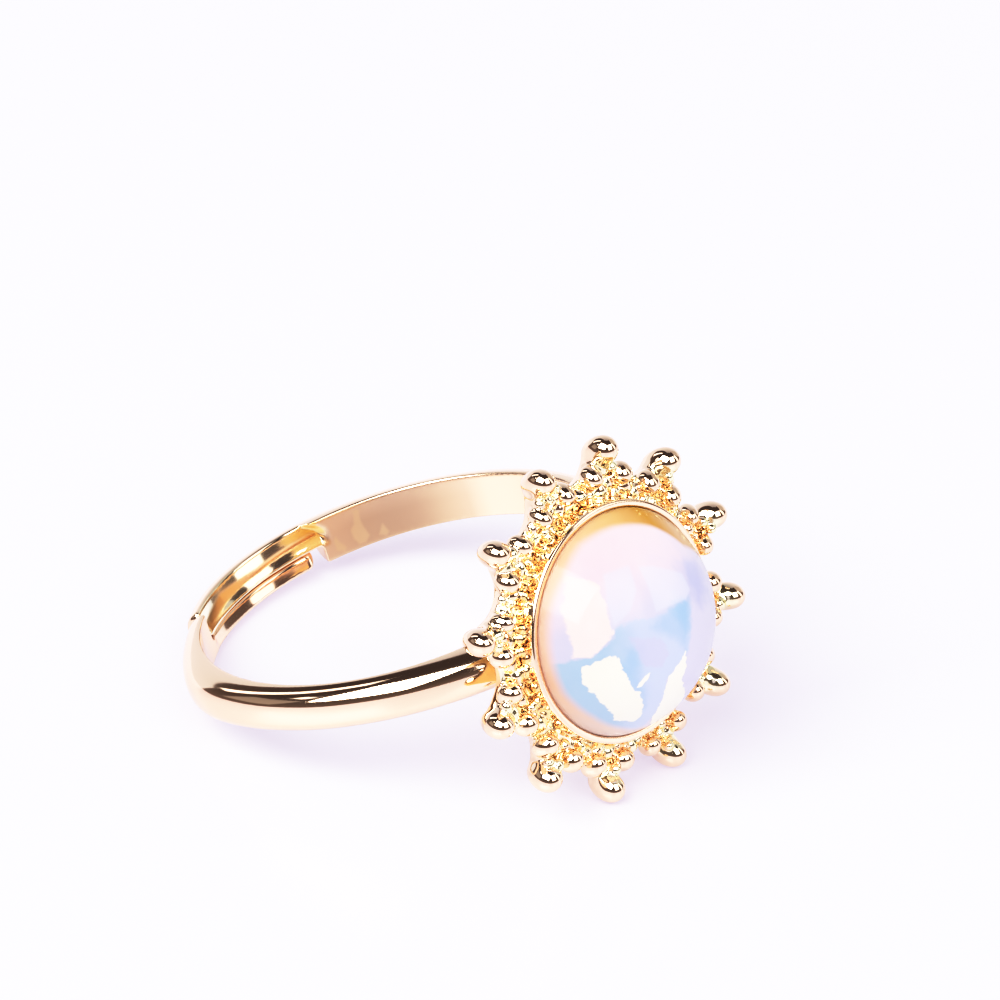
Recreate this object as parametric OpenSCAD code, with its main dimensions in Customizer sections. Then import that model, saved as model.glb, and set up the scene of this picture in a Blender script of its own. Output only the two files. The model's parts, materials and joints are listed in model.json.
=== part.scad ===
// Moonstone ring: an open adjustable band, a twelve-ray sunburst head and a round domed stone in a plain bezel.
// Millimetres, +Z up. The ring lies on its side as it comes to rest: on two lower ray tips and the back of the band.
// +X is the way the stone looks, and the origin is on the floor under the middle of the ring's box.

/* [Band] */
// Diameter of the finger bore
bore_d = 17; // [15:0.1:20]
// Radius of the band's rounded crown in section
crown_r = 1.07; // [0.95:0.01:1.2]
// Mean thickness of the left shank
left_t = 1.06; // [0.95:0.01:1.15]
// How far the left shank's crown is shifted away from the head
left_back = 0.3; // [0:0.01:0.35]
// How far the left shank's crown is shifted inwards
left_in = 0.1; // [0:0.01:0.15]
// Mean thickness of the right shank
right_t = 1.28; // [1.1:0.01:1.35]
// How far the right shank's crown is shifted away from the head
right_back = 0.15; // [0:0.01:0.2]
// How far the right shank's crown is shifted inwards
right_in = 0.11; // [0:0.01:0.15]
// Width of the band where it meets the head
width_front = 1.8; // [1.5:0.05:2.0]

/* [Lapped ends] */
// Angle round the band at which the upper tongue leaves the left shank
step_angle = 159.5; // [150:0.5:162]
// Angle at which the lower tongue ends, short of that step
tongue_angle = 165; // [163.5:0.5:175]
// Angle at which the upper tongue meets the notch in the right shank
notch_angle = 213; // [200:0.5:220]
// Height of the slit between the tongues, from the band's middle
slit_z = -0.22; // [-0.3:0.01:0.3]
// Width of the slit
slit_w = 0.12; // [0.08:0.01:0.2]
// Depth of the hollow along the inside of the upper tongue
trough_depth = 0.14; // [0.05:0.01:0.2]

/* [Sunburst] */
// How far the head sits to the left of the band's middle
head_side = 0.87; // [0:0.01:1]
// Number of rays
rays = 12; // [12:1:12]
// Turn of the first ray from the sideways direction
ray_turn = 8.5; // [1:0.5:15]
// Distance of the plate's back from the bore axis
plate_back = 9.7; // [9.5:0.05:9.8]
// Thickness of the plate
plate_t = 1.05; // [0.8:0.05:1.2]
// Radius to the middle of a ray's front ball
tip_pitch = 6.83; // [6.6:0.01:7]
// Radius of a ray's front ball
tip_r = 0.62; // [0.55:0.01:0.65]
// Radius of a ray's rounded back end
tail_r = 0.44; // [0.4:0.01:0.5]
// Radius of the hollow curves between the rays
scallop_r = 1.33; // [1.2:0.01:1.4]
// Radius to the second circle of beads
bead_pitch = 5.81; // [5.7:0.01:5.9]
// Radius of those beads
bead_r = 0.43; // [0.35:0.01:0.5]
// Radius of the small grains
grain_r = 0.33; // [0.25:0.01:0.36]

/* [Bezel and stone] */
// Outer radius of the bezel
bezel_r = 4.9; // [4.7:0.05:5]
// Wall of the bezel
bezel_t = 0.3; // [0.2:0.05:0.4]
// Distance of the bezel's rim from the bore axis
rim_at = 11.7; // [11.4:0.05:12]
// Radius of the stone's dome
dome_r = 4.85; // [4.7:0.05:5]
// Distance of the dome's top from the bore axis
dome_top = 14.88; // [14.5:0.01:15]
// Gap between the stone and its seat
seat_gap = 0.05; // [0.03:0.01:0.1]

/* [Resting pose] */
// Lift of the head off the level
rest_tilt = 16.58; // [14:0.01:18]
// Roll of the ring onto its second lower tip
rest_roll = 6.5; // [5:0.01:10]
// Height of the bore's centre above the floor
rest_height = 3.760; // [4:0.001:6]
// Bore centre ahead of the middle of the box
rest_x = -2.469; // [-4:0.001:4]
// Bore centre to the left of the middle of the box
rest_y = 0.104; // [-2:0.001:2]

/* [Hidden] */
$fn = 48;
bore_r = bore_d / 2;
reach = bore_r + 3;
tall = 4;
plate_front = plate_back + plate_t;
tip_at = plate_front + 0.07;
tail_at = plate_back + 0.35;
tail_pitch = tip_pitch - 0.26;
lean = atan((tip_pitch - tail_pitch) / (tip_at - tail_at));
scallop_back = 6.8;
scallop_lean = 19;
plate_r_back = 6.35;
plate_r_front = 6.6;
bead_at = plate_front + 0.22;
grain_at = plate_front + 0.08;
grain_rows = [[5.26, 36, 0], [5.78, 24, 0]];
seat_floor = plate_back + 0.4;
seat_r = bezel_r - bezel_t;
bezel_foot = plate_back + 0.1;
rim_bevel = 0.08;
// Solder between the band and the plate: half its length at the band and at the plate
solder_band = 3.6;
solder_plate = 2.2;
solder_w = width_front - 0.2;
solder_sink = 0.2;
slot_angle = 0.8;
left_start = -6;
right_end = 351;
trough_z = 0.42;
trough_r = 0.62;
wedge_side = crown_r + 0.02;
gold = [0.93, 0.76, 0.48];
milk = [0.90, 0.91, 0.97];

// Lays the ring down: roll about the head's axis, tilt the head up, then set it on the floor.
module laid_down() {
  translate([rest_x, rest_y, rest_height])
    rotate([0, -rest_tilt, 0])
      rotate([rest_roll, 0, 0])
        children();
}

// Head frame: local z runs out along the face, from the bore axis.
module on_face() {
  translate([0, head_side, 0])
    rotate([90, 0, 90])
      children();
}

// Part of a flat ring between two angles and two heights, wider than the band.
module sector(a0, a1, z0, z1) {
  rotate([0, 0, a0])
    rotate_extrude(angle = a1 - a0)
      translate([bore_r - 1, z0])
        square([4, z1 - z0]);
}

// One shank as a round rod, bent to a circle that is shifted from the bore's; the bore cuts its inside.
module rod(a0, a1, thickness, shift) {
  translate(shift)
    rotate([0, 0, a0])
      rotate_extrude(angle = a1 - a0, $fn = 96)
        translate([bore_r + thickness - crown_r, 0])
          circle(r = crown_r);
}

// Space between two planes that close in towards the head.
module wedge() {
  rotate([90, 0, 0])
    linear_extrude(height = 2 * reach, center = true)
      polygon([
        [-reach, -wedge_side], [0, -wedge_side], [reach, -width_front / 2],
        [reach, width_front / 2], [0, wedge_side], [-reach, wedge_side]
      ]);
}

// Left shank: its lower half stops at the step, its upper half runs on as a tongue with a hollow inside.
module left_shank() {
  difference() {
    rod(left_start, notch_angle - slot_angle, left_t, [-left_back, -left_in, 0]);
    sector(step_angle, notch_angle, -tall, slit_z + slit_w / 2);
    rotate([0, 0, step_angle])
      rotate_extrude(angle = notch_angle - step_angle)
        translate([bore_r - trough_r + trough_depth, trough_z])
          circle(r = trough_r);
  }
}

// Right shank: its upper half stops at the notch, its lower half runs on as a tongue.
module right_shank() {
  difference() {
    rod(tongue_angle, right_end, right_t, [-right_back, right_in, 0]);
    sector(tongue_angle - 2, notch_angle, slit_z - slit_w / 2, tall);
  }
}

// Solder that fills the corner between the band and the back of the plate.
module solder() {
  translate([0, head_side, -solder_w / 2])
    linear_extrude(height = solder_w)
      polygon([
        [bore_r - solder_sink, -solder_band], [plate_back + solder_sink, -solder_plate],
        [plate_back + solder_sink, solder_plate], [bore_r - solder_sink, solder_band]
      ]);
}

// Plate cut by twelve hollow curves that lean outwards to the front.
module plate() {
  difference() {
    translate([0, 0, plate_back])
      cylinder(h = plate_t, r1 = plate_r_back, r2 = plate_r_front, $fn = 96);
    for (i = [0 : rays - 1])
      rotate([0, 0, ray_turn + (i + 0.5) * 360 / rays])
        translate([scallop_back, 0, plate_back])
          rotate([0, scallop_lean, 0])
            cylinder(h = tall, r = scallop_r, center = true);
  }
}

// Ray end: a ball in front that runs back along a straight taper into a smaller round end.
module drop() {
  l = sqrt(pow(tip_at - tail_at, 2) + pow(tip_pitch - tail_pitch, 2));
  taper = asin((tip_r - tail_r) / l);
  rotate_extrude()
    intersection() {
      union() {
        circle(r = tail_r);
        translate([0, l]) circle(r = tip_r);
        polygon([
          [0, 0], [tail_r * cos(taper), -tail_r * sin(taper)],
          [tip_r * cos(taper), l - tip_r * sin(taper)], [0, l]
        ]);
      }
      translate([0, -tail_r]) square([tip_r, l + tail_r + tip_r]);
    }
}

module ray_ends() {
  for (i = [0 : rays - 1])
    rotate([0, 0, ray_turn + i * 360 / rays])
      translate([tail_pitch, 0, tail_at])
        rotate([0, lean, 0])
          drop();
}

module beads() {
  for (i = [0 : 2 * rays - 1])
    rotate([0, 0, ray_turn + (i + 0.5) * 180 / rays])
      translate([bead_pitch, 0, bead_at])
        sphere(r = bead_r);
}

module grains() {
  for (row = grain_rows, i = [0 : row[1] - 1])
    rotate([0, 0, ray_turn + row[2] + i * 360 / row[1]])
      translate([row[0], 0, grain_at])
        sphere(r = grain_r);
}

module bezel() {
  rotate_extrude($fn = 96)
    polygon([
      [seat_r, bezel_foot], [bezel_r, bezel_foot], [bezel_r, rim_at - rim_bevel],
      [bezel_r - rim_bevel, rim_at], [seat_r + rim_bevel, rim_at], [seat_r, rim_at - rim_bevel]
    ]);
}

module gold_ring() {
  color(gold)
    laid_down()
      difference() {
        union() {
          intersection() {
            union() {
              left_shank();
              right_shank();
            }
            wedge();
          }
          solder();
          on_face()
            difference() {
              union() {
                plate();
                ray_ends();
                beads();
                grains();
                bezel();
              }
              translate([0, 0, seat_floor])
                cylinder(h = tall, r = seat_r, $fn = 96);
            }
        }
        cylinder(h = 3 * tall, r = bore_r, center = true, $fn = 96);
      }
}

module moonstone() {
  color(milk)
    laid_down()
      on_face()
        intersection() {
          translate([0, 0, dome_top - dome_r]) sphere(r = dome_r, $fn = 96);
          translate([0, 0, seat_floor + seat_gap])
            cylinder(h = dome_top, r = seat_r - seat_gap, $fn = 96);
        }
}

gold_ring();
moonstone();
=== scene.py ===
"""Moonstone ring: an adjustable gilt band with a granulated sunburst head and a milky domed stone.

Lengths are millimetres in the ring's own frame: x from the bore axis towards the head, y to the left
shank, z along the bore axis. The last step of each mesh lays it down in the part's frame, in metres.
The two metal pieces are distance fields on a lattice of points, joined with fillets and then skinned.
"""
import bpy
import json
import math
import numpy as np
from mathutils import Matrix, Vector


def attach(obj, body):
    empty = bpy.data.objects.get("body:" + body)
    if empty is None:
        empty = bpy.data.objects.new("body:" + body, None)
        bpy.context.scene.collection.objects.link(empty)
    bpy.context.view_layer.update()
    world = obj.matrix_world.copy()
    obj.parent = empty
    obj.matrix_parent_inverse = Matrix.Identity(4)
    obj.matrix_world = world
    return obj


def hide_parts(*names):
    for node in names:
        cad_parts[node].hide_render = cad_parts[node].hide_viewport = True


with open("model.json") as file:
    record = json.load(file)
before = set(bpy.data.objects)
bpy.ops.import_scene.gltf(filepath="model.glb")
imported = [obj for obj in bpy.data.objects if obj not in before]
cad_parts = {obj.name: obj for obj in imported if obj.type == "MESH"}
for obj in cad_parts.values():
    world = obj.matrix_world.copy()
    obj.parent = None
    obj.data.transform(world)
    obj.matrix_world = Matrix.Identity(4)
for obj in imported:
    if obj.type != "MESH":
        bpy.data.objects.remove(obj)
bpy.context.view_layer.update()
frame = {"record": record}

# Ring frame, from the finger mount
FINGER = next(m for m in frame["record"]["mounts"] if m["name"] == "finger")
BORE_R = FINGER["dims"]["r_mm"]
AXIS = Vector(FINGER["axis"]).normalized()
AHEAD = Vector((AXIS.z, 0.0, -AXIS.x)).normalized()
LEFT = AXIS.cross(AHEAD)
CENTRE = Vector(FINGER["pos_m"])
TURN = Matrix((AHEAD, LEFT, AXIS)).transposed()
MM = 0.001

# Least squared slope that a point is moved by, and a length that counts as none
LEAST_SLOPE = 0.05
TINY = 1e-9

# Band: corners of its lattice and mesh spacing
BAND_BOX = [(-10.2, -10.2, -1.25), (10.3, 10.2, 1.25)]
BAND_SPACING = 0.067
# Section of both shanks: crown radius, width, height of the middle, rounding of shoulders and inner edges
CROWN_R = 1.8
BAND_W = 2.02
BAND_Z = 0.05
SHOULDER = 0.75
EDGE = 0.13
# Thickness of each shank by angle round the bore: [degrees, thickness]
LEFT_SHANK = [[-10, 1.10], [60, 1.08], [98, 1.10], [120, 1.12], [150, 1.26], [165, 1.34], [190, 1.33],
              [200, 1.24], [215, 1.0]]
RIGHT_SHANK = [[160, 0.85], [215, 0.85], [226, 0.90], [236, 1.06], [245, 1.28], [255, 1.35], [265, 1.20],
               [280, 1.03], [300, 0.96], [320, 1.06], [340, 1.33], [356, 1.5]]
# Degrees that the tables reach over, and over which they are smoothed to either side
TABLE_DEGREES = np.arange(-60.0, 421.0, 1.0)
SPREAD_DEGREES = 9
# Degrees round the bore: the shanks' ends in the solder, the step, the lower tip, the notch and its gap
LEFT_START = -8
RIGHT_END = 353
STEP_ANGLE = 160.4
TONGUE_ANGLE = 163.2
NOTCH_ANGLE = 213.0
NOTCH_GAP = 0.8
# Degrees past which the left shank counts down from zero, and below which the right one counts on past 360
LEFT_FOLD = 300
RIGHT_FOLD = 100
# Slit between the tongues
SLIT_LOW = -0.27
SLIT_HIGH = -0.15
# Rounding of the shanks' hidden ends, the tongues' tips, the inner corners and the cut edges
HIDDEN_ROUND = 0.1
UPPER_TIP_ROUND = 0.25
LOWER_TIP_ROUND = 0.5
CORNER_ROUND = 0.2
LEFT_CUT_ROUND = 0.10
RIGHT_CUT_ROUND = 0.12
# Upper tongue's inner face: slope by angle, trough along it, where and how fast the hollow starts
UPPER_SLOPE = [[160, 0.14], [182, 0.14], [198, 0.21], [215, 0.21]]
TROUGH_DEPTH = 0.13
TROUGH_TOP = 0.85
HOLLOW_ANGLE = 157.5
HOLLOW_RUN = 0.4
HOLLOW_CORNER = 1.5
HOLLOW_CORNER_Z = 0.3
# Lower tongue's inner face: slope, and the degrees before the notch where it ends and fades
LOWER_SLOPE = 0.22
LOWER_END = 1
LOWER_FADE = 3
# Solder between band and plate: half width, reach behind and past the plate's back, taper and rounding
SOLDER_HALF_W = 0.75
SOLDER_BEHIND = 1.3
SOLDER_PAST = 0.3
SOLDER_HALF_LONG = 3.4
SOLDER_TAPER = 0.74
SOLDER_ROUND = 0.05
SOLDER_FILLET = 0.35

# Faces that count as inner ones: by how squarely they look at the bore, and by their depth past it
INNER_FACING = [0.6, 0.9]
INNER_DEPTH = [-0.1, -0.04]
# Worn inside of the left shank: where it starts, how far its gilt darkens by angle, and painted shade by
# height, lighter at the top and darker low down
WORN_START = [68, 78]
INSIDE_DARKENING = [[111, 0.0], [114.5, 0.25], [117, 0.5], [124, 0.68], [132, 0.9], [138, 0.97], [148, 1.0],
        [156, 0.8], [160, 0.7]]
PAINTED_SHADE_HEIGHT = [[-0.8, 1.05], [0.2, 1.0], [0.9, 0.72]]
# Marks of dried lacquer on that inside: degrees round the bore, height
DRIPS = [
    [(149.3, 0.8), (147.7, 0.75), (148.2, 0.3), (147.9, -0.05), (147.0, -0.5), (148.5, -0.72),
     (150.3, -0.72), (151.4, -0.4), (151.5, 0.0), (150.2, 0.2), (149.6, 0.5)],
    [(142.6, -0.2), (141.5, -0.63), (142.5, -0.75), (144.3, -0.62)],
    [(156.4, 0.0), (155.6, -0.3), (154.2, -0.64), (155.0, -0.75), (156.9, -0.6), (157.1, -0.2)],
]
DRIP_EDGE = [-0.04, 0.06]
# Upper tongue's hollow, by angle: how much paler gilt is painted against the reflections in it, and how
# strong a painted amber reflection is at its right end
PAINTED_PALE_ANGLE = [[180, 0.45], [195, 0.8]]
PAINTED_AMBER_ANGLE = [[163, 0.9], [169, 0.0]]
PAINTED_AMBER_HEIGHT = [0.2, 0.4]

# Head: place, corners of its lattice, mesh spacing and number of triangles
HEAD_SIDE = 0.87
HEAD_BOX = [(9.3, HEAD_SIDE - 7.7, -7.7), (11.9, HEAD_SIDE + 7.7, 7.7)]
HEAD_SPACING = 0.055
HEAD_TRIANGLES = 190000
# Plate
PLATE_BACK = 9.7
PLATE_FRONT = 10.75
PLATE_R_BACK = 6.35
PLATE_R_FRONT = 6.6
PLATE_ROUND = 0.25
# Rays, and the hollow curves between them
RAYS = 12
RAY_TURN = math.radians(8.5)
SCALLOP_R = 1.33
SCALLOP_PITCH = 6.9
SCALLOP_LEAN = math.radians(19)
SCALLOP_ROUND = 0.42
# Ray ends: place, half length, half depth and half width, lean, growth to the front, fillet
NUB_PITCH = 6.76
NUB_AT = 10.53
NUB_LONG = 0.93
NUB_DEEP = 0.60
NUB_WIDE = 0.56
NUB_LEAN = math.radians(14)
NUB_TAPER = 0.14
NUB_FILLET = 0.3
# Necks from the plate to the ray ends: an oval ridge, its middle and half length along the ray
NECK_R = 0.30
NECK_STRETCH = (0.9, 0.8)
NECK_SINK = 0.05
NECK_PITCH = 6.2
NECK_HALF_LONG = 0.6
NECK_ROUND = 0.1
NECK_FILLET = 0.15
# Sunk floor that the grains lie in
GRAIN_PITCH = 5.45
GRAIN_REACH = 0.62
GRAIN_SINK = 0.26
GRAIN_FLOOR_ROUND = 0.15
GRAIN_EDGE_ROUND = 0.12
# Bezel and seat
BEZEL_R = 4.9
BEZEL_HALF_WALL = 0.25
BEZEL_FOOT = PLATE_BACK + 0.2
BEZEL_ROUND = 0.1
BEZEL_FILLET = 0.08
RIM_AT = 11.64
SEAT_R = 4.6
SEAT_FLOOR = 10.1
SEAT_ROUND = 0.03
# Larger beads: place, radius, half length, lean and fillet; scatter of each; factors on radius and length
BEAD_PITCH = 5.81
BEAD_AT = PLATE_FRONT + 0.06
BEAD_R = 0.44
BEAD_LONG = 0.58
BEAD_LEAN = math.radians(24)
BEAD_FILLET = 0.10
BEAD_SCATTER = {"turn": 0.014, "pitch": 0.05, "at": 0.04, "lean": 0.06}
BEAD_GIRTH = (0.9, 1.12)
BEAD_LENGTH = (0.95, 1.1)
# Grains: smallest and largest radius, how many are thrown, how far out, fillet
GRAINS = [[0.27, 0.36, 600, 6.15, 0.05], [0.19, 0.27, 1800, 6.3, 0.04]]
# Distance from the bezel and from neighbours as a part of the radius, range of lift, range of stretch
GRAIN_CLEAR = 0.6
GRAIN_NEAR = 0.75
GRAIN_LIFT = (-0.1, 0.55)
GRAIN_STRETCH = (0.8, 1.25)
# Heights tried for the surface under a grain, and how deep the metal there must be
GRAIN_HEIGHTS = np.arange(PLATE_FRONT - 0.5, PLATE_FRONT + 0.4, 0.04)
GRAIN_BURIED = 0.05
# Granulated gilt: by height, by how squarely it faces front, from the bezel out and up to the rim
GRIT_HEIGHT = [PLATE_FRONT - 0.5, PLATE_FRONT - 0.35]
GRIT_FACING = [0.3, 0.65]
GRIT_INNER = [BEZEL_R + 0.02, BEZEL_R + 0.1]
GRIT_OUTER = [6.4, 6.75]
# How far a bead stands out of the plate where its plain gilt starts, and heights of the grains' low places,
# where paler gilt is painted against the reflections between grains
BEAD_RISE = [0.03, 0.12]
LOW_PLACES = [PLATE_FRONT - 0.12, PLATE_FRONT + 0.08]
# Back of the plate: by height and by how squarely it faces back
BACK_HEIGHT = [PLATE_BACK + 0.02, PLATE_BACK + 0.25]
BACK_FACING = [0.2, 0.7]

# Stone
DOME_R = 4.85
DOME_TOP = 14.88
STONE_R = 4.58
STONE_BACK = 10.15
STONE_BEVEL = 0.06
# Stone's mesh: rings over the dome, shares of the wall's height with a ring, and points round it
STONE_RINGS = 80
WALL_RINGS = (0.3, 0.7, 0.95)
STONE_AROUND = 240

# Colours of the stone as they print, 8 bits
PINK = (253, 241, 247)
LAVENDER = (236, 233, 249)
VIOLET = (214, 215, 246)
BLUE = (205, 227, 246)
PALE_BLUE = (226, 233, 251)
DEEP_BLUE = (186, 218, 248)
# Painted reflection of the soft boxes on the dome
PAINTED_PANE_REFLECTION = (244, 245, 254)
BLUSH = (255, 249, 247)
HAZE = (228, 226, 248)
CREAM = (255, 253, 248)
# Clear edge of the stone: painted view of the metal behind it by angle, and where the milky part ends
PAINTED_RIM_VIEW = [[0, (236, 205, 170)], [38, (236, 192, 140)], [58, (222, 150, 52)], [80, (248, 206, 128)],
               [105, (255, 228, 180)], [150, (253, 226, 200)], [185, (253, 220, 186)],
               [215, (250, 230, 216)], [240, (248, 230, 220)], [285, (243, 224, 202)],
               [360, (236, 205, 170)]]
MILK_EDGE = [[0, 4.1], [38, 3.5], [60, 3.95], [85, 4.24], [105, 4.4], [126, 4.36], [150, 4.42], [190, 4.38],
             [212, 4.2], [235, 4.16], [270, 4.35], [300, 4.4], [360, 4.1]]
# Outlines of the stone's coloured patches, across and up its face
PATCHES = {
    "cream": [
        [(-3.8, 0.25), (-2.9, 0.38), (-2.62, 0.14), (-2.7, -0.32), (-2.36, -1.57), (-2.16, -1.67),
         (-1.88, -3.04), (-2.1, -3.2), (-2.88, -2.67), (-3.56, -1.24), (-3.87, -0.4)],
        [(0.07, -0.98), (-0.39, -1.32), (-0.98, -1.65), (-1.17, -2.63), (-1.31, -3.54), (-0.6, -4.5),
         (0.46, -4.7), (0.3, -3.3), (-0.25, -2.12), (0.0, -1.74)],
        [(-2.27, -1.39), (-2.0, -1.08), (-1.72, -0.98), (-1.80, -1.17), (-2.1, -1.43)],
    ],
    "pink": [
        [(-2.5, 3.55), (-3.4, 2.5), (-3.64, 1.68), (-3.84, 0.72), (-3.4, 0.58), (-2.66, 1.05), (-2.5, 1.2),
         (-2.42, 1.64), (-2.04, 2.69), (-1.88, 3.07)],
    ],
    "blue": [
        [(-4.6, 0.55), (-3.33, 0.6), (-2.6, 1.0), (-2.3, 1.32), (-1.6, 1.33), (-0.42, 0.94), (0.1, 0.98),
         (1.0, 0.85), (1.04, 0.5), (0.67, -0.1), (0.18, -1.04), (-0.98, -1.65), (-1.2, -2.8), (-1.4, -3.8),
         (-2.5, -4.6), (-4.6, -3.0)],
    ],
    "deep": [
        [(1.1, 0.83), (0.57, 1.06), (0.05, 0.95), (0.16, 0.31), (0.28, -0.26), (0.67, 0.01)],
    ],
    "mid": [
        [(1.1, 0.8), (0.4, 1.1), (-0.5, 1.0), (-1.1, 0.75), (-0.75, 0.3), (-0.3, -0.2), (0.1, -1.1),
         (0.68, -0.1)],
        [(-2.8, -0.5), (-2.3, 0.4), (-1.7, 0.3), (-2.1, -0.9), (-1.9, -2.6), (-2.4, -1.4)],
    ],
    # Painted reflections of the soft boxes on the dome
    "painted_pane": [
        [(-1.5, 3.2), (-0.5, 3.1), (-0.92, 2.3), (-1.57, 1.75), (-2.3, 1.5), (-2.1, 2.3)],
        [(-0.16, 2.86), (0.37, 2.63), (1.47, 1.73), (1.42, 1.06), (0.97, 0.92), (0.11, 1.14),
         (-0.62, 1.23), (-0.42, 1.9)],
    ],
    "haze": [
        [(-2.03, 0.75), (-1.9, -0.55), (-1.2, -0.95), (-0.8, -0.6), (-0.9, 0.15)],
    ],
    "violet": [
        [(1.6, 1.9), (2.7, 1.3), (2.7, 0.3), (1.75, 0.5), (1.4, 1.2)],
    ],
}
# Wobble of the patches' edges: noise scale, detail and height
WOBBLES = {"soft": [1.1, 2.0, 1.2], "ragged": [3.2, 4.0, 0.3]}
# Heights over which the milk turns from lavender to pink, and places across where the blue turns paler
PINK_HEIGHT = [0.9, 3.8]
PALER_PLACE = [-3.2, -1.5]
# Fade over the milky part's edge, and shade from low on the left shank's side to high on the other
RIM_FADE = [-0.15, 0.12]
SHADE_PLACE = [-2.5, 6.0]
SHADE = [1.18, 0.78]
# Layers of the stone's colour, first to last: patch, wobble of its edge, where it fades out, share, colour
LAYERS = [
    ["violet", "soft", -0.5, 0.7, 1.0, VIOLET],
    ["blue", "ragged", -0.06, 0.1, 1.0, BLUE],
    ["mid", "ragged", -0.3, 0.25, 0.6, DEEP_BLUE],
    ["deep", "ragged", -0.3, 0.3, 1.0, DEEP_BLUE],
    ["haze", "ragged", -0.05, 0.12, 0.7, HAZE],
    # Painted reflection of the soft boxes
    ["painted_pane", "clean", -0.05, 0.1, 0.5, PAINTED_PANE_REFLECTION],
    ["pink", "ragged", -0.04, 0.06, 1.0, BLUSH],
    ["cream", "ragged", -0.015, 0.03, 1.0, CREAM],
]

# Gilt colours: plain, darker inside, lacquer marks, granulation, paler gilt painted in low places against the
# reflections there, painted amber reflection at the hollow's right end, plate's back
GILT = (1.0, 0.77, 0.566, 1)
DARKER_INSIDE_GILT = (0.623, 0.457, 0.311, 1)
LACQUER = (0.75, 0.57, 0.36, 1)
GRAIN_GILT = (1.0, 0.94, 0.66, 1)
PAINTED_PALE_GILT = (1.0, 0.97, 0.74, 1)
PAINTED_AMBER_REFLECTION = (0.85, 0.59, 0.23, 1)
BACK_GILT = (0.97, 0.68, 0.31, 1)
LACQUER_SHARE = 0.75
# Roughness of each metal piece, and what the granulation, the worn inside and the plate's back add
BAND_ROUGH = 0.09
HEAD_ROUGH = 0.05
GRAIN_ROUGH = 0.08
WORN_ROUGH = 0.2
BACK_ROUGH = 0.3
# Fine bumps on the granulation: strength, height in metres, noise scale and detail
BUMP_STRENGTH = 0.08
BUMP_HEIGHT = 0.00012
BUMP_SCALE = 3000.0
BUMP_DETAIL = 1.5

# Floor and screen colours
FLOOR_COLOUR = (0.35, 0.385, 0.37, 1)
FLOOR_GLOW = (0.53, 0.45, 0.60, 1)
SCREEN_GLOW = (0.96, 0.97, 1.08, 1)
# Floor: reach in front of, behind and beside the ring, in metres
FLOOR_FRONT = 1.0
FLOOR_BEHIND = -0.8
FLOOR_SIDE = 1.1

# Camera of the photograph: the point it looks at, its direction and distance from there, its lens
AIM = Vector((-3.67, 6.694, 5.0)) * MM
AZIMUTH = -45.621
ELEVATION = 31.814
ROLL = 0.346
DISTANCE = 0.40822
LENS = 360.0
SENSOR = 36.0
NEAR_CLIP = 0.01
FAR_CLIP = 20

# Soft boxes: azimuth of the left and right edges from the camera's, elevation of the edges, radiance
WINDOWS = [
    ["left window", -76, -8, 28, 68, 9.0],
    ["right window", 12, 60, 20, 64, 3.4],
    ["far right window", 76, 97, 4, 54, 1.6],
    ["right wall", 106, 160, 14, 60, 0.5],
    ["left slit", -130, -120, 22, 54, 2.2],
    ["small glint", -95, -84, 35, 41, 2.2],
    ["dim wall", -106, -76, 10, 29, 0.28],
]
WINDOW_DISTANCE = 0.8
# Back screen: elevation, half-width in azimuth and radiance
SCREEN = [[0, 59, 1.05], [9, 58, 1.0], [17, 55, 0.95], [23, 32, 0.9], [38, 25, 0.75], [56, 24, 0.55],
          [72, 26, 0.4]]
SCREEN_DISTANCE = 0.78
SCREEN_COLUMNS = 8
# Dark room: colour by height, from the horizon to overhead
ROOM = [[0.05, (0.2, 0.16, 0.15, 1)], [0.6, (0.085, 0.065, 0.065, 1)]]

# Print: radiance of full white, light that reaches the stone, and the tone curve by the share of white
WHITE = 1.25
STUDIO_LIGHT = 1.6
TONE = [[0.08, 0.045], [0.16, 0.113], [0.28, 0.261], [0.4, 0.445], [0.52, 0.645], [0.6, 0.75], [0.72, 0.87],
        [0.84, 0.95]]

rng = np.random.default_rng(21)


def smooth_min(a, b, k):
    """Union of two fields with a fillet about k wide."""
    h = np.maximum(k - np.abs(a - b), 0.0) / k
    return np.minimum(a, b) - h * h * k / 4


def smooth_max(a, b, k):
    """Intersection of two fields with a rounded edge about k wide."""
    return -smooth_min(-a, -b, k)


def ramp(value, low, high):
    """0 up to low, 1 from high on, and straight between them."""
    return np.clip((value - low) / (high - low), 0, 1)


def from_table(value, table):
    """Second column of a table by its first."""
    return np.interp(value, *np.transpose(table))


def thickness(table, deg):
    """Thickness by angle, from a short table, smoothed over a few degrees."""
    weights = np.hanning(2 * SPREAD_DEGREES + 1)
    smooth = np.convolve(from_table(TABLE_DEGREES, table), weights / weights.sum(), mode="same")
    return np.interp(deg, TABLE_DEGREES, smooth)


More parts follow.
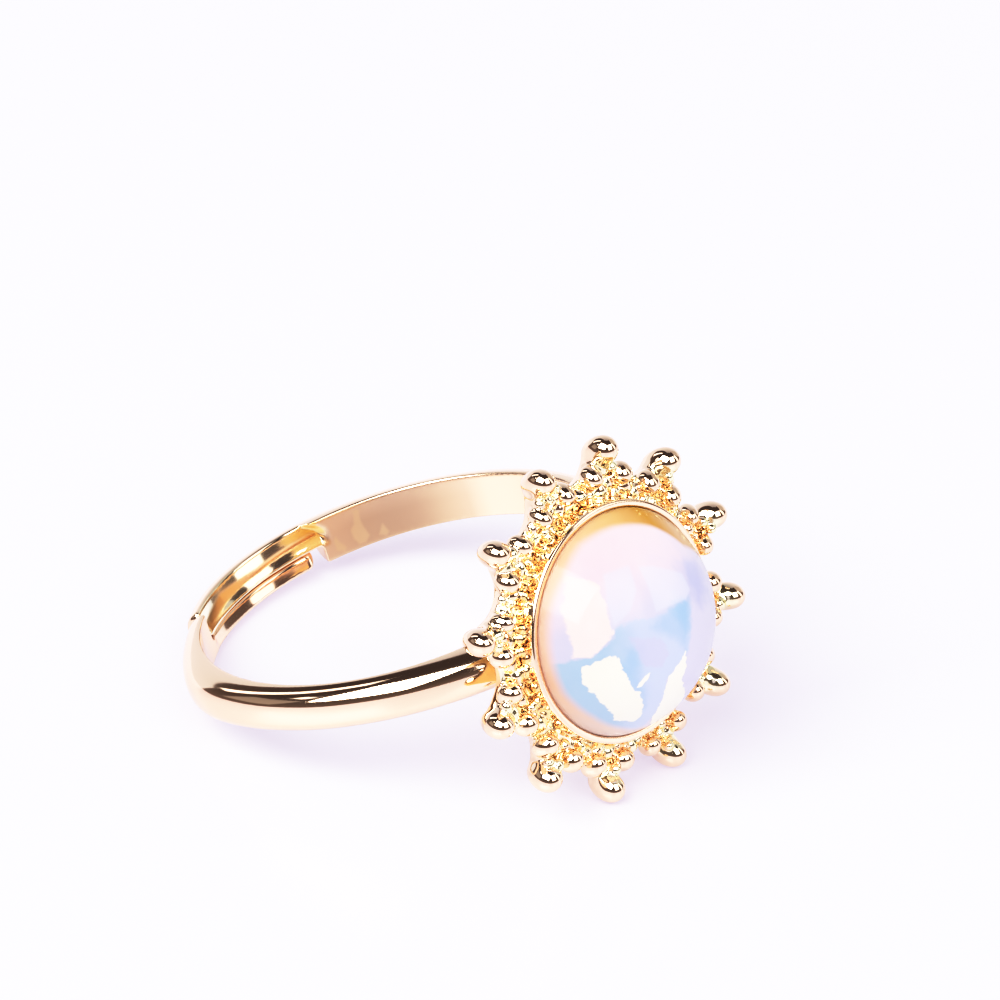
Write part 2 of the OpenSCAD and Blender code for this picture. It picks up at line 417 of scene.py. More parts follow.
class Lattice:
    """A box of points at one spacing, with a field on them that is negative in metal."""

    def __init__(self, box, spacing):
        self.lo = np.array(box[0], float)
        self.step = spacing
        count = np.ceil((np.array(box[1], float) - self.lo) / spacing).astype(int) + 1
        x, y, z = (self.lo[i] + spacing * np.arange(count[i]) for i in range(3))
        self.x = x[:, None, None]
        self.y = y[None, :, None]
        self.z = z[None, None, :]
        self.shape = tuple(count)
        self.f = None

    def near(self, centre, reach):
        """Index slices of the points within reach of a centre."""
        a = np.floor((np.array(centre) - reach - self.lo) / self.step).astype(int)
        b = np.ceil((np.array(centre) + reach - self.lo) / self.step).astype(int) + 1
        return tuple(slice(max(p, 0), max(min(q, n), 0)) for p, q, n in zip(a, b, self.shape))

    def offsets(self, part, centre):
        """Offsets from a centre of the points in a part of the lattice."""
        return self.x[part[0]] - centre[0], self.y[:, part[1]] - centre[1], self.z[:, :, part[2]] - centre[2]

    def add_drop(self, centre, axis, long, wide, fillet):
        """Joins a ball drawn out along an axis to the field."""
        part = self.near(centre, long + 2 * fillet)
        dx, dy, dz = self.offsets(part, centre)
        along = dx * axis[0] + dy * axis[1] + dz * axis[2]
        across = np.maximum(dx * dx + dy * dy + dz * dz - along * along, 0)
        size = np.sqrt((along / long) ** 2 + across / wide ** 2)
        self.f[part] = smooth_min(self.f[part], (size - 1) * wide, fillet)

    def add_ball(self, centre, radius, fillet, stretch):
        """Joins a ball, stretched along the axes, to the field."""
        part = self.near(centre, radius * max(stretch) + 2 * fillet)
        dx, dy, dz = (d / s for d, s in zip(self.offsets(part, centre), stretch))
        self.f[part] = smooth_min(self.f[part], np.sqrt(dx * dx + dy * dy + dz * dz) - radius, fillet)

    def sample(self, values, points):
        """Values at any points, by the eight lattice points round each."""
        q = (points - self.lo) / self.step
        base = np.clip(np.floor(q).astype(int), 0, np.array(self.shape) - 2)
        t = q - base
        out = 0
        for i, j, k in np.ndindex(2, 2, 2):
            weight = (np.where(i, t[:, 0], 1 - t[:, 0]) * np.where(j, t[:, 1], 1 - t[:, 1])
                      * np.where(k, t[:, 2], 1 - t[:, 2]))
            out = out + weight * values[base[:, 0] + i, base[:, 1] + j, base[:, 2] + k]
        return out

    def settle(self, points, rounds=3):
        """Moves points onto the field's zero surface and returns them with the normals there."""
        slopes = [g.astype(np.float32) for g in np.gradient(self.f, self.step)]
        for _ in range(rounds):
            g = np.column_stack([self.sample(slope, points) for slope in slopes])
            size = np.maximum((g * g).sum(1), LEAST_SLOPE)
            move = (self.sample(self.f, points) / size)[:, None] * g
            limit = np.minimum(1.0, self.step / np.maximum(np.linalg.norm(move, axis=1), TINY))
            points = points - move * limit[:, None]
        g = np.column_stack([self.sample(slope, points) for slope in slopes])
        return points, g / np.maximum(np.linalg.norm(g, axis=1), TINY)[:, None]

    def skin(self):
        """Points and quads of the surface where the field is zero."""
        inside = self.f < 0
        cells = np.array(self.shape) - 1
        axes = np.eye(3, dtype=int)
        ids, spots, quads = [], [], []
        for axis in range(3):
            low = [slice(1, -1)] * 3
            high = [slice(1, -1)] * 3
            low[axis] = slice(0, -1)
            high[axis] = slice(1, None)
            base = np.argwhere(inside[tuple(low)] != inside[tuple(high)]) + (1 - axes[axis])
            a = self.f[tuple(base.T)]
            b = self.f[tuple((base + axes[axis]).T)]
            spot = base + (a / (a - b))[:, None] * axes[axis]
            u = axes[(axis + 1) % 3]
            v = axes[(axis + 2) % 3]
            ring = np.stack([np.ravel_multi_index((base - o).T, cells) for o in (0 * u, u, u + v, v)], 1)
            ring[a > 0] = ring[a > 0][:, ::-1]
            quads.append(ring)
            ids.append(ring.ravel())
            spots.append(np.repeat(spot, 4, axis=0))
        ids = np.concatenate(ids)
        spots = np.concatenate(spots)
        used, where = np.unique(ids, return_inverse=True)
        count = np.bincount(where)
        points = np.column_stack([np.bincount(where, spots[:, i]) / count for i in range(3)])
        faces = np.searchsorted(used, np.concatenate(quads))
        return self.lo + self.step * points, faces.tolist()


def crown(table, radius, deg, z):
    """Section of a shank: a wide arch, with its sides cut to the band's width."""
    core = BORE_R + thickness(table, deg) - CROWN_R
    arch = np.sqrt((radius - core) ** 2 + (z - BAND_Z) ** 2) - CROWN_R
    return smooth_max(arch, np.abs(z - BAND_Z) - BAND_W / 2, SHOULDER)


def left_shank(radius, deg, z):
    """Left shank: its lower half stops at the step, its upper half runs on as a hollowed tongue."""
    deg = np.where(deg > LEFT_FOLD, deg - 360, deg)
    along = np.radians(1.0) * radius  # millimetres a degree
    past_start = (deg - HOLLOW_ANGLE) * along - HOLLOW_CORNER * np.clip(z - HOLLOW_CORNER_Z, 0, 1) ** 2
    hollow = from_table(deg, UPPER_SLOPE) * np.maximum(z - SLIT_HIGH, 0)
    hollow = hollow + TROUGH_DEPTH * (1 - np.clip(TROUGH_TOP - z, 0, 1) ** 3)
    inner = BORE_R - radius + hollow * np.clip(past_start / HOLLOW_RUN, 0, 1)
    left = smooth_max(crown(LEFT_SHANK, radius, deg, z), inner, EDGE)
    left = smooth_max(left, (deg - (NOTCH_ANGLE - NOTCH_GAP)) * along, UPPER_TIP_ROUND)
    left = smooth_max(left, (LEFT_START - deg) * along, HIDDEN_ROUND)
    lower_half = smooth_max(z - SLIT_HIGH, (STEP_ANGLE - deg) * along, CORNER_ROUND)
    return smooth_max(left, -lower_half, LEFT_CUT_ROUND)


def right_shank(radius, deg, z):
    """Right shank: its upper half stops at the notch, its lower half runs on as a sloped tongue."""
    deg = np.where(deg < RIGHT_FOLD, deg + 360, deg)
    along = np.radians(1.0) * radius
    slope = LOWER_SLOPE * np.clip(z + BAND_W / 2, 0, 1)
    slope = slope * np.clip((NOTCH_ANGLE - LOWER_END - deg) / LOWER_FADE, 0, 1)
    right = smooth_max(crown(RIGHT_SHANK, radius, deg, z), BORE_R - radius + slope, EDGE)
    right = smooth_max(right, (deg - RIGHT_END) * along, HIDDEN_ROUND)
    right = smooth_max(right, (TONGUE_ANGLE - deg) * along, LOWER_TIP_ROUND)
    upper_half = smooth_max(SLIT_LOW - z, (deg - NOTCH_ANGLE) * along, CORNER_ROUND)
    return smooth_max(right, -upper_half, RIGHT_CUT_ROUND)


def solder(lat, radius):
    """Solder that fills the corner between the band and the back of the plate."""
    depth = np.maximum(PLATE_BACK - SOLDER_BEHIND - lat.x, lat.x - (PLATE_BACK + SOLDER_PAST))
    field = np.maximum(np.abs(lat.z) - SOLDER_HALF_W, depth)
    side = np.abs(lat.y - HEAD_SIDE) + SOLDER_TAPER * (lat.x - BORE_R) - SOLDER_HALF_LONG
    return smooth_max(np.maximum(field, side), BORE_R - radius, SOLDER_ROUND)


def band_field(lat):
    """The two shanks with their lapped tongues, and the solder up to the plate."""
    radius = np.sqrt(lat.x * lat.x + lat.y * lat.y)
    deg = np.degrees(np.arctan2(lat.y, lat.x)) % 360
    shanks = np.minimum(left_shank(radius, deg, lat.z), right_shank(radius, deg, lat.z))
    return smooth_min(shanks, solder(lat, radius), SOLDER_FILLET)


def head_frame(lat):
    """Face coordinates of a lattice: radius and angle about the head's axis, and height out of the face."""
    u = lat.y - HEAD_SIDE
    v = lat.z
    return np.sqrt(u * u + v * v), np.arctan2(v, u) - RAY_TURN, lat.x


def fold(angle, parts):
    """Angle from the nearest of that many equal spokes."""
    pitch = 2 * math.pi / parts
    return np.mod(angle + pitch / 2, pitch) - pitch / 2


def plate(r, angle, w):
    """Plate cut by twelve hollow curves that lean outwards to the front."""
    half = (PLATE_FRONT - PLATE_BACK) / 2
    slab = np.abs(w - (PLATE_BACK + half)) - half
    edge = PLATE_R_BACK + (PLATE_R_FRONT - PLATE_R_BACK) * np.clip((w - PLATE_BACK) / (2 * half), 0, 1)
    disc = smooth_max(slab, r - edge, PLATE_ROUND)
    valley = fold(angle - math.pi / RAYS, RAYS)
    axis_r = SCALLOP_PITCH + (w - PLATE_BACK) * math.tan(SCALLOP_LEAN)
    across = (r * np.cos(valley) - axis_r) * math.cos(SCALLOP_LEAN)
    hollow = np.sqrt(across ** 2 + (r * np.sin(valley)) ** 2) - SCALLOP_R
    return smooth_max(disc, -hollow, SCALLOP_ROUND)


def neck(px, py, w):
    """Low ridge from the plate's front to a ray end: px along the ray, py across it."""
    wide, high = NECK_STRETCH
    ridge = np.sqrt((py / wide) ** 2 + ((w - PLATE_FRONT + NECK_SINK) / high) ** 2) - NECK_R
    return smooth_max(ridge, np.abs(px - NECK_PITCH) - NECK_HALF_LONG, NECK_ROUND)


def ray_end(px, py, w):
    """Ray end: a drop that leans back and grows a little to the front."""
    along = (w - NUB_AT) * math.cos(NUB_LEAN) + (px - NUB_PITCH) * math.sin(NUB_LEAN)
    across = (px - NUB_PITCH) * math.cos(NUB_LEAN) - (w - NUB_AT) * math.sin(NUB_LEAN)
    girth = 1 + NUB_TAPER * along / NUB_LONG
    size = np.sqrt((along / NUB_LONG) ** 2 + (across / (NUB_DEEP * girth)) ** 2
                   + (py / (NUB_WIDE * girth)) ** 2)
    return (size - 1) * NUB_WIDE


def head_body(lat):
    """Plate, rays, sunk floor for the grains, bezel and seat."""
    r, angle, w = head_frame(lat)
    spoke = fold(angle, RAYS)
    px = r * np.cos(spoke)
    py = r * np.sin(spoke)
    body = smooth_min(plate(r, angle, w), neck(px, py, w), NECK_FILLET)
    body = smooth_min(body, ray_end(px, py, w), NUB_FILLET)
    sunk = smooth_max(np.abs(r - GRAIN_PITCH) - GRAIN_REACH, PLATE_FRONT - GRAIN_SINK - w, GRAIN_FLOOR_ROUND)
    body = smooth_max(body, -sunk, GRAIN_EDGE_ROUND)
    wall = np.maximum(np.abs(r - BEZEL_R + BEZEL_HALF_WALL) - BEZEL_HALF_WALL, BEZEL_FOOT - w)
    wall = smooth_max(wall, w - RIM_AT, BEZEL_ROUND)
    body = smooth_min(body, wall, BEZEL_FILLET)
    seat = np.maximum(r - SEAT_R, SEAT_FLOOR - w)
    return smooth_max(body, -seat, SEAT_ROUND)


def on_face(r, angle, w):
    """Ring-frame point for face coordinates."""
    return (w, HEAD_SIDE + r * math.cos(angle), r * math.sin(angle))


def add_beads(lat):
    """Larger drops between and beside the rays. Returns the place and radius of each."""
    placed = []
    for i in range(2 * RAYS):
        angle = RAY_TURN + (i + 0.5) * math.pi / RAYS + rng.normal(0, BEAD_SCATTER["turn"])
        r = BEAD_PITCH + rng.normal(0, BEAD_SCATTER["pitch"])
        w = BEAD_AT + rng.normal(0, BEAD_SCATTER["at"])
        size = BEAD_R * rng.uniform(*BEAD_GIRTH)
        lean = BEAD_LEAN + rng.normal(0, BEAD_SCATTER["lean"])
        axis = (math.cos(lean), -math.sin(lean) * math.cos(angle), -math.sin(lean) * math.sin(angle))
        lat.add_drop(on_face(r, angle, w), axis, BEAD_LONG * rng.uniform(*BEAD_LENGTH), size, BEAD_FILLET)
        placed.append((r, angle, size))
    return placed


def surface_height(lat, body, r, angle):
    """Height of the body's surface at a place on the face, or None where there is no metal under it."""
    column = np.array([on_face(r, angle, w) for w in GRAIN_HEIGHTS])
    depth = lat.sample(body, column)
    if depth.min() > -GRAIN_BURIED or not (depth > 0).any():
        return None
    return column[np.argmax(depth > 0), 0]


def add_grains(lat, body, placed):
    """Grains of two sizes, thrown down between what is placed. Those without room are left out."""
    for low, high, number, reach, fillet in GRAINS:
        for _ in range(number):
            size = rng.uniform(low, high)
            r = rng.uniform(BEZEL_R + GRAIN_CLEAR * size, reach)
            angle = rng.uniform(0, 2 * math.pi)
            gaps = [math.hypot(r - q * math.cos(angle - b), q * math.sin(angle - b)) - GRAIN_NEAR * (size + s)
                    for q, b, s in placed]
            if min(gaps) < 0:
                continue
            level = surface_height(lat, body, r, angle)
            if level is None:
                continue
            centre = on_face(r, angle, level + rng.uniform(*GRAIN_LIFT) * size)
            lat.add_ball(centre, size, fillet, tuple(rng.uniform(*GRAIN_STRETCH, 3)))
            placed.append((r, angle, size))


def add_attribute(obj, name, values, kind="FLOAT"):
    """Stores a value or a vector for each vertex, for the materials to read."""
    data = obj.data.attributes.new(name, kind, "POINT").data
    data.foreach_set("value" if kind == "FLOAT" else "vector", np.asarray(values, np.float32).ravel())


def make_object(name, points, faces, normals=None):
    """Object of ring-frame points, laid down in the part's frame in metres."""
    mesh = bpy.data.meshes.new(name)
    laid_down = points @ (np.array(TURN).T * MM) + np.array(CENTRE)
    mesh.from_pydata(laid_down.tolist(), [], faces)
    mesh.validate()
    mesh.shade_smooth()
    if normals is not None:
        mesh.normals_split_custom_set_from_vertices((normals @ np.array(TURN).T).tolist())
    obj = bpy.data.objects.new(name, mesh)
    bpy.context.scene.collection.objects.link(obj)
    return obj


def thinned(points, faces, limit):
    """Collapses a mesh of quads to a number of triangles."""
    obj = make_object("thinning", points, faces)
    modifier = obj.modifiers.new("thin", "DECIMATE")
    modifier.ratio = limit / (2 * len(faces))
    mesh = obj.evaluated_get(bpy.context.evaluated_depsgraph_get()).to_mesh()
    flat = np.empty(3 * len(mesh.vertices))
    mesh.vertices.foreach_get("co", flat)
    new_points = (flat.reshape(-1, 3) - np.array(CENTRE)) @ np.array(TURN) / MM
    new_faces = [list(p.vertices) for p in mesh.polygons]
    bpy.data.objects.remove(obj)
    return new_points, new_faces


def outline_distance(outline, u, v):
    """Distance from a closed outline, negative inside it."""
    best = np.full(u.shape, np.inf)
    inside = np.zeros(u.shape, bool)
    for (ax, ay), (bx, by) in zip(outline, outline[1:] + outline[:1]):
        t = ((u - ax) * (bx - ax) + (v - ay) * (by - ay)) / ((bx - ax) ** 2 + (by - ay) ** 2)
        t = np.clip(t, 0, 1)
        best = np.minimum(best, np.hypot(u - ax - t * (bx - ax), v - ay - t * (by - ay)))
        if ay != by:
            inside ^= ((ay > v) != (by > v)) & (u < (bx - ax) * (v - ay) / (by - ay) + ax)
    return np.where(inside, -best, best)


def nearest_outline(outlines, u, v):
    """Distance from the nearest of several outlines."""
    return np.min([outline_distance(outline, u, v) for outline in outlines], axis=0)


def paint_band(band, points, normals):
    """Attributes of the band's gilt: worn inside of the left shank with its darker gilt and painted shade by
    height, its marks, and the tongue's hollow with painted paler gilt and a painted amber reflection.
    """
    x, y, z = points.T
    radius = np.hypot(x, y)
    turn = np.degrees(np.arctan2(y, x)) % 360
    facing = ramp(-(x * normals[:, 0] + y * normals[:, 1]) / radius, *INNER_FACING)

    inside = ramp(BORE_R - radius, *INNER_DEPTH) * facing
    inside = inside * ramp(turn, *WORN_START) * (turn < STEP_ANGLE)
    add_attribute(band, "inside", inside)
    # Gilt darker by angle, times painted shade by height that is lighter at the top
    add_attribute(band, "darker_inside", inside * from_table(turn, INSIDE_DARKENING) * from_table(z, PAINTED_SHADE_HEIGHT))
    marks = [[(math.radians(deg) * BORE_R, height) for deg, height in outline] for outline in DRIPS]
    distance = nearest_outline(marks, np.radians(turn) * BORE_R, z)
    add_attribute(band, "drip", inside * (1 - ramp(distance, *DRIP_EDGE)))

    tongue = (turn > HOLLOW_ANGLE) * (turn < NOTCH_ANGLE) * (z > SLIT_HIGH) * (1 - inside)
    # Paler gilt painted in the hollow to tone down the reflections between its faces
    add_attribute(band, "hollow", tongue * facing * from_table(turn, PAINTED_PALE_ANGLE))
    # Painted amber reflection in the upper part of the hollow's right end
    painted_amber = from_table(turn, PAINTED_AMBER_ANGLE) * ramp(z, *PAINTED_AMBER_HEIGHT)
    sloped_too = np.clip(2 * facing, 0, 1)
    add_attribute(band, "painted_amber", tongue * sloped_too * painted_amber)


def make_band():
    """The band, skinned and painted."""
    lat = Lattice(BAND_BOX, BAND_SPACING)
    lat.f = band_field(lat).astype(np.float32)
    points, faces = lat.skin()
    points, normals = lat.settle(points)
    band = make_object("band", points, faces, normals)
    paint_band(band, points, normals)
    return band


def paint_sunburst(head, points, normals, bead_share):
    """Attributes of the sunburst's gilt: granulation, the low places in it with their painted paler gilt, and
    the back of the plate.
    """
    w = points[:, 0]
    r = np.hypot(points[:, 1] - HEAD_SIDE, points[:, 2])
    grit = ramp(w, *GRIT_HEIGHT) * ramp(normals[:, 0], *GRIT_FACING)
    grit = grit * ramp(r, *GRIT_INNER) * (1 - ramp(r, *GRIT_OUTER)) * (1 - bead_share)
    add_attribute(head, "grit", grit)
    # Paler gilt painted in the grains' low places to tone down the reflections between the grains
    add_attribute(head, "hollow", grit * (1 - ramp(w, *LOW_PLACES)))
    add_attribute(head, "back", (1 - ramp(w, *BACK_HEIGHT)) * ramp(-normals[:, 0], *BACK_FACING))


def make_sunburst():
    """Plate, rays, beads, grains, bezel and seat in one skin."""
    lat = Lattice(HEAD_BOX, HEAD_SPACING)
    lat.f = head_body(lat).astype(np.float32)
    body = lat.f.copy()
    placed = add_beads(lat)
    with_beads = lat.f.copy()
    add_grains(lat, body, placed)
    points, faces = lat.skin()
    points, faces = thinned(points, faces, HEAD_TRIANGLES)
    points, normals = lat.settle(points)
    head = make_object("sunburst", points, faces, normals)
    bead_share = ramp(lat.sample(body, points) - lat.sample(with_beads, points), *BEAD_RISE)
    paint_sunburst(head, points, normals, bead_share)
    return head


def stone_profile():
    """Radius and height of the stone's section, from the top of the dome to the middle of the flat back."""
    centre = DOME_TOP - DOME_R
    slope = np.linspace(0, math.asin(STONE_R / DOME_R), STONE_RINGS + 1)[1:]
    profile = [(0.0, DOME_TOP)]
    profile += [(DOME_R * math.sin(t), centre + DOME_R * math.cos(t)) for t in slope]
    wall_top = profile[-1][1]
    profile += [(STONE_R, wall_top - (wall_top - STONE_BACK) * t) for t in WALL_RINGS]
    return profile + [(STONE_R - STONE_BEVEL, STONE_BACK), (STONE_R / 2, STONE_BACK), (0.0, STONE_BACK)]


def lathed(profile, around):
    """Points and faces of a profile turned about the head's axis, with triangles at the poles."""
    points, faces, rings = [], [], []
    for r, w in profile:
        if r == 0:
            rings.append([len(points)] * around)
            points.append(on_face(0, 0, w))
        else:
            rings.append(list(range(len(points), len(points) + around)))
            points += [on_face(r, 2 * math.pi * i / around, w) for i in range(around)]
    for a, b in zip(rings, rings[1:]):
        for i in range(around):
            j = (i + 1) % around
            corners = [a[i], b[i], b[j], a[j]]
            faces.append([v for k, v in enumerate(corners) if v not in corners[:k]])
    return np.array(points), faces


def make_stone():
    """Dome over a short straight girdle, closed by a flat back, with its patches as attributes."""
    points, faces = lathed(stone_profile(), STONE_AROUND)
    stone = make_object("stone", points, faces)
    u = points[:, 1] - HEAD_SIDE
    v = points[:, 2]
    turn = np.degrees(np.arctan2(v, u)) % 360
    past_milk = np.hypot(u, v) - from_table(turn, MILK_EDGE)
    add_attribute(stone, "face", np.column_stack([u, v, past_milk]), "FLOAT_VECTOR")
    # Painted view of the metal behind the clear edge, by angle
    places = [place for place, colour in PAINTED_RIM_VIEW]
    shares = zip(*[seen(*colour)[:3] for place, colour in PAINTED_RIM_VIEW])
    rim = np.column_stack([np.interp(turn, places, share) for share in shares])
    add_attribute(stone, "rim", rim, "FLOAT_VECTOR")
    for name, outlines in PATCHES.items():
        add_attribute(stone, name, nearest_outline(outlines, u, v))
    return stone


class Material:
    """A material with short calls for its nodes."""

    def __init__(self, name):
        self.material = bpy.data.materials.new(name)
        self.material.use_nodes = True
        self.tree = self.material.node_tree
        self.shader = self.tree.nodes["Principled BSDF"]

    def put(self, socket, value):
        """Links an output to a socket, or sets the socket's value."""
        if isinstance(value, bpy.types.NodeSocket):
            self.tree.links.new(value, socket)
        elif value is not None:
            socket.default_value = value

    def shade(self, **values):
        """Fills inputs of the shader by name, with _ for a space."""
        for name, value in values.items():
            self.put(self.shader.inputs[name.replace("_", " ")], value)

    def node(self, kind, **settings):
        """A new shader node."""
        node = self.tree.nodes.new("ShaderNode" + kind)
        for key, value in settings.items():
            setattr(node, key, value)
        return node

    def attribute(self, name, output="Fac"):
        """A per-vertex attribute. One that the piece doesn't have counts as 0."""
        return self.node("Attribute", attribute_name=name).outputs[output]

    def math(self, operation, a, b=None, c=None):
        """One operation on up to three values."""
        node = self.node("Math", operation=operation)
        for socket, value in zip(node.inputs, (a, b, c)):
            self.put(socket, value)
        return node.outputs[0]

    def noise(self, place, scale, detail):
        """Noise from 0 to 1 at a place."""
        node = self.node("TexNoise")
        self.put(node.inputs["Vector"], place)
        self.put(node.inputs["Scale"], scale)
        self.put(node.inputs["Detail"], detail)
        return node.outputs["Fac"]

    def fade(self, value, low, high, start=0.0, end=1.0):
        """Smooth step from start to end as value goes from low to high."""
        node = self.node("MapRange", interpolation_type="SMOOTHSTEP")
        for socket, number in zip(node.inputs, (value, low, high, start, end)):
            self.put(socket, number)
        return node.outputs[0]

    def mix(self, factor, a, b, blend="MIX"):
        """Mixes or blends two colours."""
        node = self.node("Mix", data_type="RGBA", blend_type=blend)
        self.put(node.inputs[0], factor)
        for socket, value in zip(node.inputs[6:8], (a, b)):
            self.put(socket, value)
        return node.outputs[2]


def seen(red, green, blue):
    """Linear colour whose print through the tone curve is the 8-bit colour given, in even studio light."""
    tone = [[0, 0]] + TONE + [[1, 1]]
    printed = [y for x, y in tone]
    radiance = [WHITE * x for x, y in tone]
    out = []
    for value in (red, green, blue):
        part = value / 255
        linear = part / 12.92 if part < 0.04045 else ((part + 0.055) / 1.055) ** 2.4
        out.append(float(np.interp(linear, printed, radiance)) / STUDIO_LIGHT)
    return (*out, 1)


def gold_material(name, rough):
    """Gilt of both metal pieces, coloured by their attributes."""
    mat = Material(name)
    grit = mat.attribute("grit")
    back = mat.attribute("back")
    lacquer = mat.math("MULTIPLY", mat.attribute("drip"), LACQUER_SHARE)
    # Darker gilt inside, with painted shade by height
    base = mat.mix(mat.attribute("darker_inside"), GILT, DARKER_INSIDE_GILT)
    base = mat.mix(lacquer, base, LACQUER)
    base = mat.mix(grit, base, GRAIN_GILT)
    # Paler gilt painted in hollows and low places against the reflections there
    base = mat.mix(mat.attribute("hollow"), base, PAINTED_PALE_GILT)
    # Painted amber reflection
    base = mat.mix(mat.attribute("painted_amber"), base, PAINTED_AMBER_REFLECTION)
    base = mat.mix(back, base, BACK_GILT)
    rough = mat.math("MULTIPLY_ADD", grit, GRAIN_ROUGH, rough)
    rough = mat.math("MULTIPLY_ADD", mat.attribute("inside"), WORN_ROUGH, rough)
    rough = mat.math("MULTIPLY_ADD", back, BACK_ROUGH, rough)
    bump = mat.node("Bump")
    place = mat.node("TexCoord").outputs["Object"]
    mat.put(bump.inputs["Strength"], mat.math("MULTIPLY", grit, BUMP_STRENGTH))
    mat.put(bump.inputs["Distance"], BUMP_HEIGHT)
    mat.put(bump.inputs["Height"], mat.noise(place, BUMP_SCALE, BUMP_DETAIL))
    mat.shade(Metallic=1.0, Base_Color=base, Roughness=rough, Normal=bump.outputs[0])
    return mat.material


def stone_material():
    """Milky glass: lavender to pink, then the patches with painted reflections of the soft boxes among them,
    the clear edge painted with the metal seen behind it and a slight shade across the face.
    """
    mat = Material("milky glass")
    face = mat.attribute("face", "Vector")
    split = mat.node("SeparateXYZ")
    mat.put(split.inputs[0], face)
    u, v, past_milk = split.outputs
    wobble = {"clean": 0.0}
    for edge, (scale, detail, height) in WOBBLES.items():
        wobble[edge] = mat.math("MULTIPLY_ADD", mat.noise(face, scale, detail), height, -height / 2)

    pinker = mat.fade(mat.math("ADD", v, wobble["soft"]), *PINK_HEIGHT)
    milk = mat.mix(pinker, seen(*LAVENDER), seen(*PINK))
    paler = mat.fade(mat.math("ADD", u, wobble["soft"]), *PALER_PLACE)
    for name, edge, low, high, share, colour in LAYERS:
        paint = seen(*colour)
        if name == "blue":
            paint = mat.mix(paler, paint, seen(*PALE_BLUE))
        place = mat.math("ADD", mat.attribute(name), wobble[edge])
        milk = mat.mix(mat.fade(place, low, high, share, 0.0), milk, paint)
    # Painted view of the metal behind the clear edge
    milk = mat.mix(mat.fade(past_milk, *RIM_FADE), milk, mat.attribute("rim", "Vector"))
    shade = mat.fade(mat.math("SUBTRACT", v, u), *SHADE_PLACE, *SHADE)
    milk = mat.mix(1.0, milk, shade, "MULTIPLY")
    mat.shade(Base_Color=milk, Roughness=0.45, Specular_IOR_Level=0.0)
    mat.shade(Coat_Weight=0.35, Coat_Roughness=0.015, Coat_IOR=1.5)
    mat.shade(Subsurface_Weight=0.8, Subsurface_Radius=(1.0, 1.0, 1.0), Subsurface_Scale=0.0015)
    return mat.material


def floor_material():
    """Pale floor that glows a little, so that its open places print near white and shadows stay soft."""
    mat = Material("white floor")
    mat.shade(Base_Color=FLOOR_COLOUR, Roughness=0.3, Specular_IOR_Level=0.4)
    mat.shade(Emission_Color=FLOOR_GLOW, Emission_Strength=1.0)
    return mat.material


def screen_material():
    """Screen that gives light by its glow attribute and reflects none."""
    mat = Material("lit screen")
    mat.shade(Base_Color=(0, 0, 0, 1), Roughness=1.0, Specular_IOR_Level=0.0)
    mat.shade(Emission_Color=SCREEN_GLOW, Emission_Strength=mat.attribute("glow"))
    return mat.material


def toward(azimuth, elevation):
    """Unit vector for an azimuth and an elevation in degrees."""
    a = math.radians(azimuth)
    e = math.radians(elevation)
    return Vector((math.cos(e) * math.cos(a), math.cos(e) * math.sin(a), math.sin(e)))


def facing_back(place, out):
    """Matrix of a camera or lamp at a place, looking against the direction out."""
    return Matrix.Translation(place) @ out.to_track_quat("Z", "Y").to_matrix().to_4x4()


def add_camera():
    """Camera of the photograph."""
    data = bpy.data.cameras.new("camera")
    data.lens = LENS
    data.sensor_width = SENSOR
    data.clip_start = NEAR_CLIP
    data.clip_end = FAR_CLIP
    camera = bpy.data.objects.new("camera", data)
    out = toward(AZIMUTH, ELEVATION)
    roll = Matrix.Rotation(math.radians(-ROLL), 4, "Z")
    camera.matrix_world = facing_back(AIM + out * DISTANCE, out) @ roll
    bpy.context.scene.collection.objects.link(camera)
    bpy.context.scene.camera = camera


def add_window(name, left, right, low, high, radiance):
    """A soft box that faces the ring and fills a range of azimuth, from the camera's, and of elevation."""
    elevation = (low + high) / 2
    data = bpy.data.lights.new(name, "AREA")
    data.shape = "RECTANGLE"
    half_angle = math.radians(right - left) / 2
    data.size = 2 * WINDOW_DISTANCE * math.tan(half_angle) * math.cos(math.radians(elevation))
    data.size_y = 2 * WINDOW_DISTANCE * math.tan(math.radians(high - low) / 2)
    data.energy = radiance * data.size * data.size_y * math.pi
    lamp = bpy.data.objects.new(name, data)
    out = toward(AZIMUTH + (left + right) / 2, elevation)
    lamp.matrix_world = facing_back(CENTRE + out * WINDOW_DISTANCE, out)
    bpy.context.scene.collection.objects.link(lamp)


def stage_mesh(name, points, faces, material):
    """A mesh of the studio, which isn't part of the ring."""
    mesh = bpy.data.meshes.new(name)
    mesh.from_pydata([tuple(p) for p in points], [], faces)
    mesh.shade_smooth()
    mesh.materials.append(material)
    obj = bpy.data.objects.new(name, mesh)
    bpy.context.scene.collection.objects.link(obj)
    return obj


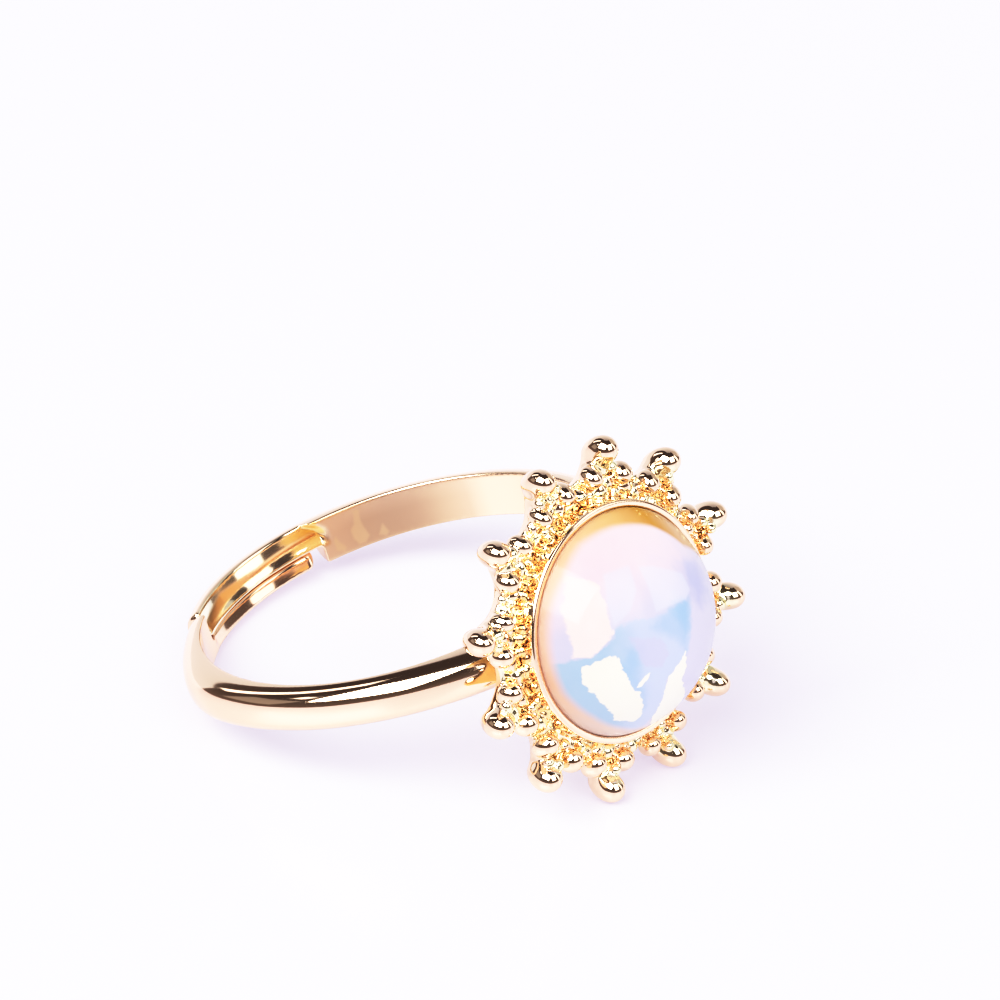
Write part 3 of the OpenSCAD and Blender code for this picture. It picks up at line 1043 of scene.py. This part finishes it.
def add_floor():
    """Flat floor, turned to the camera."""
    out = toward(AZIMUTH, 0)
    side = Vector((-out.y, out.x, 0))
    places = ((FLOOR_FRONT, -FLOOR_SIDE), (FLOOR_FRONT, FLOOR_SIDE), (FLOOR_BEHIND, FLOOR_SIDE),
              (FLOOR_BEHIND, -FLOOR_SIDE))
    corners = [out * ahead + side * aside for ahead, aside in places]
    stage_mesh("floor", corners, [[0, 1, 2, 3]], floor_material())


def add_back_screen():
    """Bright screen behind the ring, wide at its foot and dimmer towards its top."""
    row = SCREEN_COLUMNS + 1
    points, glow = [], []
    for elevation, half_width, radiance in SCREEN:
        for k in range(row):
            azimuth = AZIMUTH + 180 + half_width * (2 * k / SCREEN_COLUMNS - 1)
            points.append(toward(azimuth, elevation) * SCREEN_DISTANCE)
            glow.append(radiance)
    faces = [[row * i + k, row * i + k + 1, row * (i + 1) + k + 1, row * (i + 1) + k]
             for i in range(len(SCREEN) - 1) for k in range(SCREEN_COLUMNS)]
    screen = stage_mesh("back screen", points, faces, screen_material())
    add_attribute(screen, "glow", glow)


def set_room():
    """World colour by height: a dim, slightly warm room."""
    world = bpy.data.worlds.new("room")
    world.use_nodes = True
    tree = world.node_tree
    split = tree.nodes.new("ShaderNodeSeparateXYZ")
    tree.links.new(tree.nodes.new("ShaderNodeTexCoord").outputs["Generated"], split.inputs[0])
    shade = tree.nodes.new("ShaderNodeValToRGB")
    for element, (height, colour) in zip(shade.color_ramp.elements, ROOM):
        element.position = height
        element.color = colour
    tree.links.new(split.outputs[2], shade.inputs[0])
    tree.links.new(shade.outputs[0], tree.nodes["Background"].inputs["Color"])
    bpy.context.scene.world = world


def set_print():
    """White level and tone curve of the print."""
    view = bpy.context.scene.view_settings
    view.view_transform = "Standard"
    view.use_curve_mapping = True
    view.curve_mapping.white_level = (WHITE, WHITE, WHITE)
    curve = view.curve_mapping.curves[3]
    for x, y in TONE:
        curve.points.new(x, y)
    view.curve_mapping.update()


add_camera()
add_floor()
add_back_screen()
for row in WINDOWS:
    add_window(*row)
set_room()
set_print()

band = make_band()
band.data.materials.append(gold_material("band gilt", BAND_ROUGH))
sunburst = make_sunburst()
sunburst.data.materials.append(gold_material("sunburst gilt", HEAD_ROUGH))
for piece in (band, sunburst):
    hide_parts("gold_ring")
    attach(piece, "root")
stone = make_stone()
stone.data.materials.append(stone_material())
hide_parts("moonstone")
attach(stone, "root")
